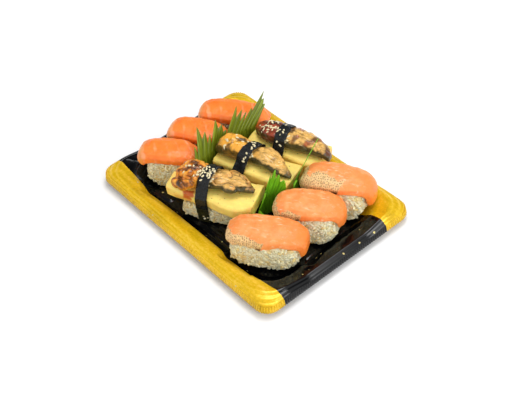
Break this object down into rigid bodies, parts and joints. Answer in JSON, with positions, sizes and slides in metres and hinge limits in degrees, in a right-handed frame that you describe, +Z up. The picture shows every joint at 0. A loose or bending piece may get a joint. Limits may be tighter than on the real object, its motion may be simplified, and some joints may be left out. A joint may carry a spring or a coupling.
{
  "type": "takeaway sushi tray",
  "caption": "Shallow takeaway tray filled with raw salmon, omelette with grilled eel, and seared salmon nigiri, with grass-shaped dividers between the rows.",
  "frame": {"origin": "centre of the tray at the underside of its floor", "axes": "+X along the tray's long side towards the seared salmon row, +Y towards the back long side, +Z up"},
  "size_m": [0.214, 0.153, 0.0592],
  "materials": {
    "tray plastic": "glossy black thermoformed sheet with printed gold bands and flecks",
    "rice": "cooked white rice, moist grains",
    "raw salmon": "moist raw fish with faint pale streaks",
    "seared salmon": "moist fish with a seared, dotted skin edge",
    "egg": "pale omelette with browned edges",
    "eel": "grilled eel with a glossy brown glaze",
    "seaweed": "crinkled dried seaweed, slight sheen",
    "divider plastic": "thin translucent green film with light and dark streaks"
  },
  "bodies": {
    "root": {"tray": "tray plastic", "salmon_rice_1": "rice", "salmon_slice_1": "raw salmon", "salmon_rice_2": "rice", "salmon_slice_2": "raw salmon", "salmon_rice_3": "rice", "salmon_slice_3": "raw salmon", "egg_rice_1": "rice", "egg_slab_1": "egg", "eel_1": "eel", "seaweed_band_1": "seaweed", "egg_rice_2": "rice", "egg_slab_2": "egg", "eel_2": "eel", "seaweed_band_2": "seaweed", "egg_rice_3": "rice", "egg_slab_3": "egg", "eel_3": "eel", "seaweed_band_3": "seaweed", "torched_rice_1": "rice", "torched_slice_1": "seared salmon", "torched_rice_2": "rice", "torched_slice_2": "seared salmon", "torched_rice_3": "rice", "torched_slice_3": "seared salmon", "divider_left": "divider plastic", "divider_right_front": "divider plastic", "divider_right_back": "divider plastic"}
  },
  "joints": []
}
